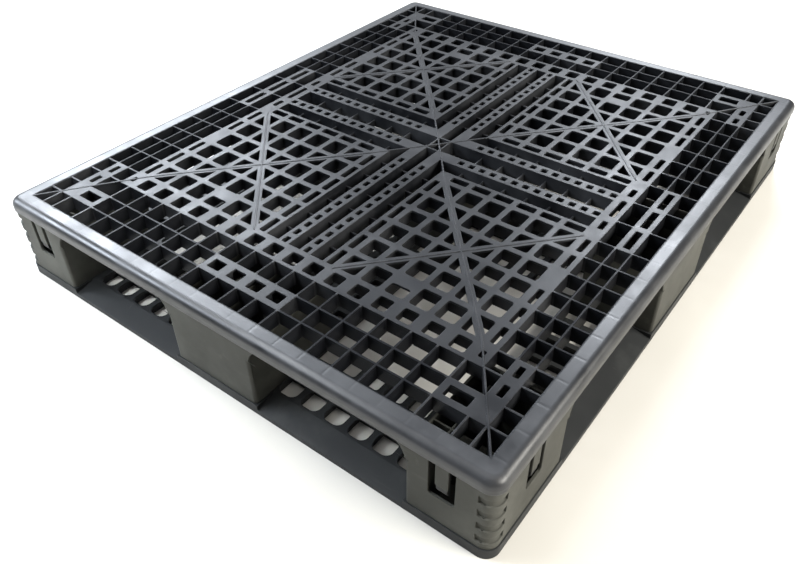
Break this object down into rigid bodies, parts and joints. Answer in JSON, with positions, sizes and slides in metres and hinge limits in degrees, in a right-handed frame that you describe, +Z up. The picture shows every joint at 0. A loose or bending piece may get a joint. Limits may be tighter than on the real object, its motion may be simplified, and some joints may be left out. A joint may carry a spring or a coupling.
{
  "type": "plastic pallet",
  "caption": "Double-faced four-way plastic pallet with an open lattice deck, hollow snap-fitted blocks and a windowed bottom deck.",
  "frame": {"origin": "on the floor, under the centre of the pallet", "axes": "+X along the 1200 mm side, +Y along the 1000 mm side, +Z up to the load face"},
  "size_m": [1.2, 1, 0.158],
  "materials": {
    "deck_plastic": "semi-gloss moulded polyolefin, scuffed",
    "base_plastic": "moulded polyolefin, dusty and scuffed",
    "block_plastic": "moulded polyolefin, scuffed olive grey",
    "hook_plastic": "moulded polyolefin",
    "screw_steel": "zinc plated"
  },
  "bodies": {
    "root": {"top_deck": "deck_plastic", "bottom_deck": "base_plastic", "corner_block_front_left": "block_plastic", "corner_block_front_right": "block_plastic", "corner_block_back_left": "block_plastic", "corner_block_back_right": "block_plastic", "side_block_front": "block_plastic", "side_block_back": "block_plastic", "end_block_left": "block_plastic", "end_block_right": "block_plastic", "centre_block": "block_plastic", "tie_screws": "screw_steel", "corner_screws": "screw_steel"},
    "side_hook_front_left_body": {"side_hook_front_left": "hook_plastic"},
    "end_hook_front_left_body": {"end_hook_front_left": "hook_plastic"},
    "side_hook_back_left_body": {"side_hook_back_left": "hook_plastic"},
    "end_hook_back_left_body": {"end_hook_back_left": "hook_plastic"},
    "side_hook_front_right_body": {"side_hook_front_right": "hook_plastic"},
    "end_hook_front_right_body": {"end_hook_front_right": "hook_plastic"},
    "side_hook_back_right_body": {"side_hook_back_right": "hook_plastic"},
    "end_hook_back_right_body": {"end_hook_back_right": "hook_plastic"}
  },
  "joints": [
    {"name": "side_hook_front_left_press", "type": "hinge", "parent": "root", "child": "side_hook_front_left_body", "pos_m": [-0.502, -0.4905, 0.143], "axis": [1, 0, 0], "range_deg": [0, 6], "stiffness_Nm_per_rad": 1.5, "springref_deg": -2.86},
    {"name": "end_hook_front_left_press", "type": "hinge", "parent": "root", "child": "end_hook_front_left_body", "pos_m": [-0.5905, -0.42, 0.143], "axis": [0, -1, 0], "range_deg": [0, 6], "stiffness_Nm_per_rad": 1.5, "springref_deg": -2.86},
    {"name": "side_hook_back_left_press", "type": "hinge", "parent": "root", "child": "side_hook_back_left_body", "pos_m": [-0.502, 0.4905, 0.143], "axis": [-1, 0, 0], "range_deg": [0, 6], "stiffness_Nm_per_rad": 1.5, "springref_deg": -2.86},
    {"name": "end_hook_back_left_press", "type": "hinge", "parent": "root", "child": "end_hook_back_left_body", "pos_m": [-0.5905, 0.42, 0.143], "axis": [0, -1, 0], "range_deg": [0, 6], "stiffness_Nm_per_rad": 1.5, "springref_deg": -2.86},
    {"name": "side_hook_front_right_press", "type": "hinge", "parent": "root", "child": "side_hook_front_right_body", "pos_m": [0.502, -0.4905, 0.143], "axis": [1, 0, 0], "range_deg": [0, 6], "stiffness_Nm_per_rad": 1.5, "springref_deg": -2.86},
    {"name": "end_hook_front_right_press", "type": "hinge", "parent": "root", "child": "end_hook_front_right_body", "pos_m": [0.5905, -0.42, 0.143], "axis": [0, 1, 0], "range_deg": [0, 6], "stiffness_Nm_per_rad": 1.5, "springref_deg": -2.86},
    {"name": "side_hook_back_right_press", "type": "hinge", "parent": "root", "child": "side_hook_back_right_body", "pos_m": [0.502, 0.4905, 0.143], "axis": [-1, 0, 0], "range_deg": [0, 6], "stiffness_Nm_per_rad": 1.5, "springref_deg": -2.86},
    {"name": "end_hook_back_right_press", "type": "hinge", "parent": "root", "child": "end_hook_back_right_body", "pos_m": [0.5905, 0.42, 0.143], "axis": [0, 1, 0], "range_deg": [0, 6], "stiffness_Nm_per_rad": 1.5, "springref_deg": -2.86}
  ]
}
